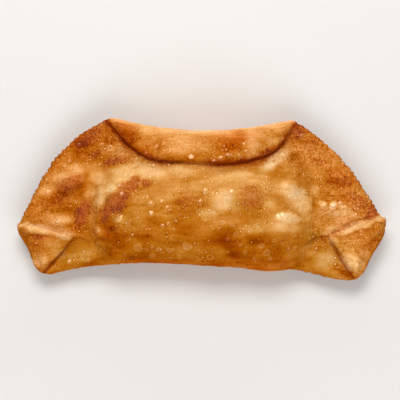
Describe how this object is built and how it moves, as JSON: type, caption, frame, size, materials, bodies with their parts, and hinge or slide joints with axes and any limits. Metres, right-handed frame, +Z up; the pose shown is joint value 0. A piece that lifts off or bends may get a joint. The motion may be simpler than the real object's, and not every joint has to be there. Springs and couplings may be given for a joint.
{
  "type": "empanada",
  "caption": "Deep-fried half-moon empanada with a plump filled belly, the crown of the dough folded forward and both front corners folded in.",
  "frame": {"origin": "on the resting surface, under the middle of the outline", "axes": "+X along the length, +Y from the plump front edge to the folded crown, +Z up"},
  "size_m": [0.16, 0.0716, 0.0279],
  "materials": {
    "crust": "golden blistered fried dough with a light sheen of oil"
  },
  "bodies": {
    "root": {"empanada": "crust"}
  },
  "joints": []
}
